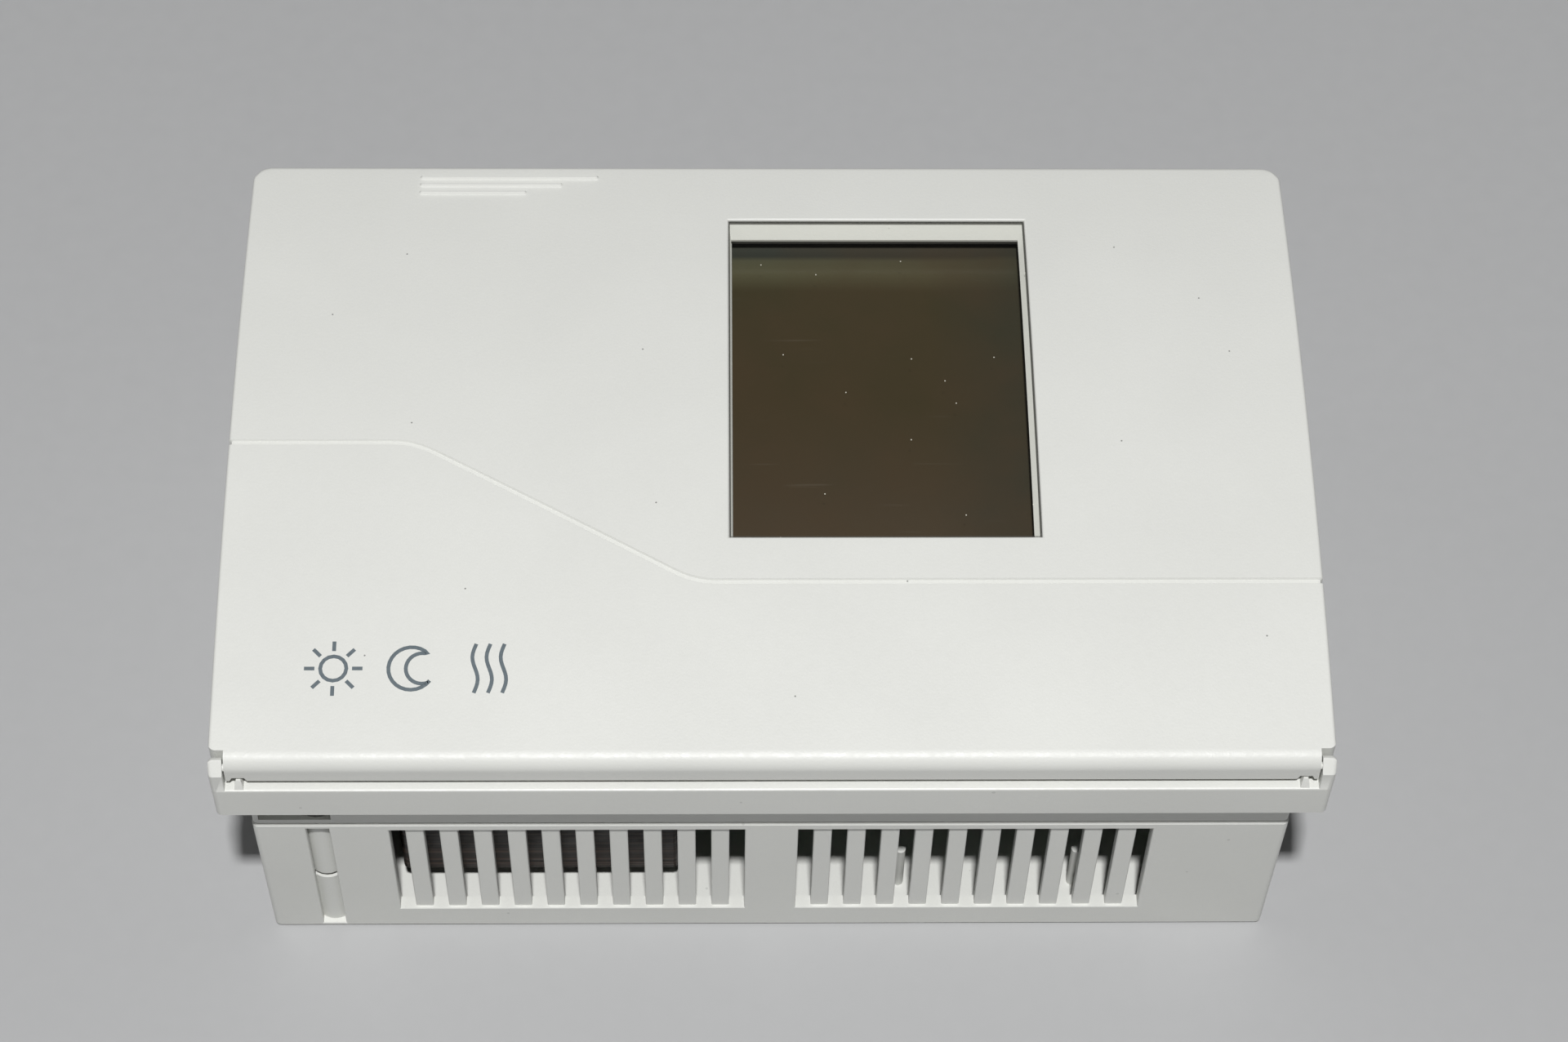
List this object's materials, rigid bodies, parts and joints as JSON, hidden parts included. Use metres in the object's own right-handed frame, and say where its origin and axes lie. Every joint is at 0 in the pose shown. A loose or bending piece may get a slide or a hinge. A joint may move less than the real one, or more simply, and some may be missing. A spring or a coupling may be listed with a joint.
{
  "type": "digital heating controller",
  "caption": "Panel or wall mounted heating controller: plug-in front unit with display and keys under a hinged, crowned cover, on a vented rear housing.",
  "frame": {"origin": "centre of the rear face, on the face", "axes": "+X to the right along the face, +Y up the face away from the cover's hinge, +Z out of the face"},
  "size_m": [0.144, 0.096, 0.0534],
  "materials": {
    "housing_plastic": "satin warm white",
    "panel_plastic": "satin light grey",
    "clear_plastic": "clear polished",
    "display_glass": "dark olive reflective display",
    "diffuser": "white diffusing",
    "key_plastic": "satin grey",
    "dark_plastic": "black",
    "rubber": "matt",
    "board": "green solder mask",
    "relay_plastic": "black moulded",
    "steel": "zinc plated",
    "brass": "turned",
    "lamp": "red translucent lens",
    "terminal_plastic": "green moulded"
  },
  "bodies": {
    "housing": {"base_housing": "housing_plastic", "front_bezel": "housing_plastic", "operating_panel": "panel_plastic", "display_glass": "display_glass", "light_guide": "diffuser", "contact_strip_lower": "rubber", "contact_strip_upper": "rubber", "keypad_mat": "rubber", "potentiometer": "dark_plastic", "slide_switch": "dark_plastic", "signal_lamp_1": "lamp", "signal_lamp_2": "lamp", "signal_lamp_3": "lamp", "logic_board": "board", "microcontroller": "dark_plastic", "quartz_crystal": "steel", "cell_holder": "dark_plastic", "backup_cell": "steel", "board_header": "dark_plastic", "power_board": "board", "transformer": "relay_plastic", "relay_1": "relay_plastic", "relay_2": "relay_plastic", "relay_3": "relay_plastic", "capacitor_1": "dark_plastic", "capacitor_2": "dark_plastic", "plug_connector_left": "dark_plastic", "plug_connector_right": "dark_plastic", "terminal_block_left": "terminal_plastic", "terminal_block_right": "terminal_plastic", "unit_screw_lower": "steel", "unit_screw_upper": "steel"},
    "cover": {"front_cover": "housing_plastic", "window_pane": "clear_plastic"},
    "auto_key": {"key_auto": "key_plastic"},
    "comfort_key": {"key_comfort": "key_plastic"},
    "reduced_key": {"key_reduced": "key_plastic"},
    "standby_key": {"key_standby": "key_plastic"},
    "line_up_key": {"key_line_up": "key_plastic"},
    "line_down_key": {"key_line_down": "key_plastic"},
    "value_plus_key": {"key_value_plus": "key_plastic"},
    "value_minus_key": {"key_value_minus": "key_plastic"},
    "knob": {"setpoint_knob": "key_plastic", "potentiometer_shaft": "steel"},
    "switch_slider": {"slide_switch_knob": "key_plastic"},
    "lower_clamp_screw": {"clamp_screw_lower": "steel"},
    "lower_clamp_nut": {"clamp_nut_lower": "brass"},
    "lower_clamp_lever": {"clamp_lever_lower": "housing_plastic"},
    "upper_clamp_screw": {"clamp_screw_upper": "steel"},
    "upper_clamp_nut": {"clamp_nut_upper": "brass"},
    "upper_clamp_lever": {"clamp_lever_upper": "housing_plastic"}
  },
  "joints": [
    {"name": "cover_hinge", "type": "hinge", "parent": "housing", "child": "cover", "pos_m": [0, -0.0465, 0.0466], "axis": [1, 0, 0], "range_deg": [0, 95]},
    {"name": "auto_key_press", "type": "slide", "parent": "housing", "child": "auto_key", "axis": [0, 0, -1], "range_m": [0, 0.0008], "stiffness_N_per_m": 1200},
    {"name": "comfort_key_press", "type": "slide", "parent": "housing", "child": "comfort_key", "axis": [0, 0, -1], "range_m": [0, 0.0008], "stiffness_N_per_m": 1200},
    {"name": "reduced_key_press", "type": "slide", "parent": "housing", "child": "reduced_key", "axis": [0, 0, -1], "range_m": [0, 0.0008], "stiffness_N_per_m": 1200},
    {"name": "standby_key_press", "type": "slide", "parent": "housing", "child": "standby_key", "axis": [0, 0, -1], "range_m": [0, 0.0008], "stiffness_N_per_m": 1200},
    {"name": "line_up_key_press", "type": "slide", "parent": "housing", "child": "line_up_key", "axis": [0, 0, -1], "range_m": [0, 0.0008], "stiffness_N_per_m": 1200},
    {"name": "line_down_key_press", "type": "slide", "parent": "housing", "child": "line_down_key", "axis": [0, 0, -1], "range_m": [0, 0.0008], "stiffness_N_per_m": 1200},
    {"name": "value_plus_key_press", "type": "slide", "parent": "housing", "child": "value_plus_key", "axis": [0, 0, -1], "range_m": [0, 0.0008], "stiffness_N_per_m": 1200},
    {"name": "value_minus_key_press", "type": "slide", "parent": "housing", "child": "value_minus_key", "axis": [0, 0, -1], "range_m": [0, 0.0008], "stiffness_N_per_m": 1200},
    {"name": "knob_turn", "type": "hinge", "parent": "housing", "child": "knob", "pos_m": [-0.038, 0.014, 0.045], "axis": [0, 0, 1], "range_deg": [-140, 140]},
    {"name": "switch_slide", "type": "slide", "parent": "housing", "child": "switch_slider", "axis": [1, 0, 0], "range_m": [0, 0.004]},
    {"name": "lower_clamp_screw_turn", "type": "hinge", "parent": "housing", "child": "lower_clamp_screw", "pos_m": [-0.0599, -0.042, 0.02], "axis": [0, 0, -1], "range_deg": [0, 1440]},
    {"name": "lower_clamp_climb", "type": "slide", "parent": "housing", "child": "lower_clamp_nut", "axis": [0, 0, 1], "range_m": [0, 0.0028]},
    {"name": "lower_clamp_swing", "type": "hinge", "parent": "lower_clamp_nut", "child": "lower_clamp_lever", "pos_m": [-0.0599, -0.042, 0.02], "axis": [0, 0, 1], "range_deg": [0, 90]},
    {"name": "upper_clamp_screw_turn", "type": "hinge", "parent": "housing", "child": "upper_clamp_screw", "pos_m": [0.0599, 0.042, 0.02], "axis": [0, 0, -1], "range_deg": [0, 1440]},
    {"name": "upper_clamp_climb", "type": "slide", "parent": "housing", "child": "upper_clamp_nut", "axis": [0, 0, 1], "range_m": [0, 0.0028]},
    {"name": "upper_clamp_swing", "type": "hinge", "parent": "upper_clamp_nut", "child": "upper_clamp_lever", "pos_m": [0.0599, 0.042, 0.02], "axis": [0, 0, 1], "range_deg": [0, 90]}
  ],
  "couplings": [
    {"joint": "lower_clamp_screw_turn", "follows": "lower_clamp_climb", "rad_per_m": 8975.9},
    {"joint": "upper_clamp_screw_turn", "follows": "upper_clamp_climb", "rad_per_m": 8975.9}
  ]
}
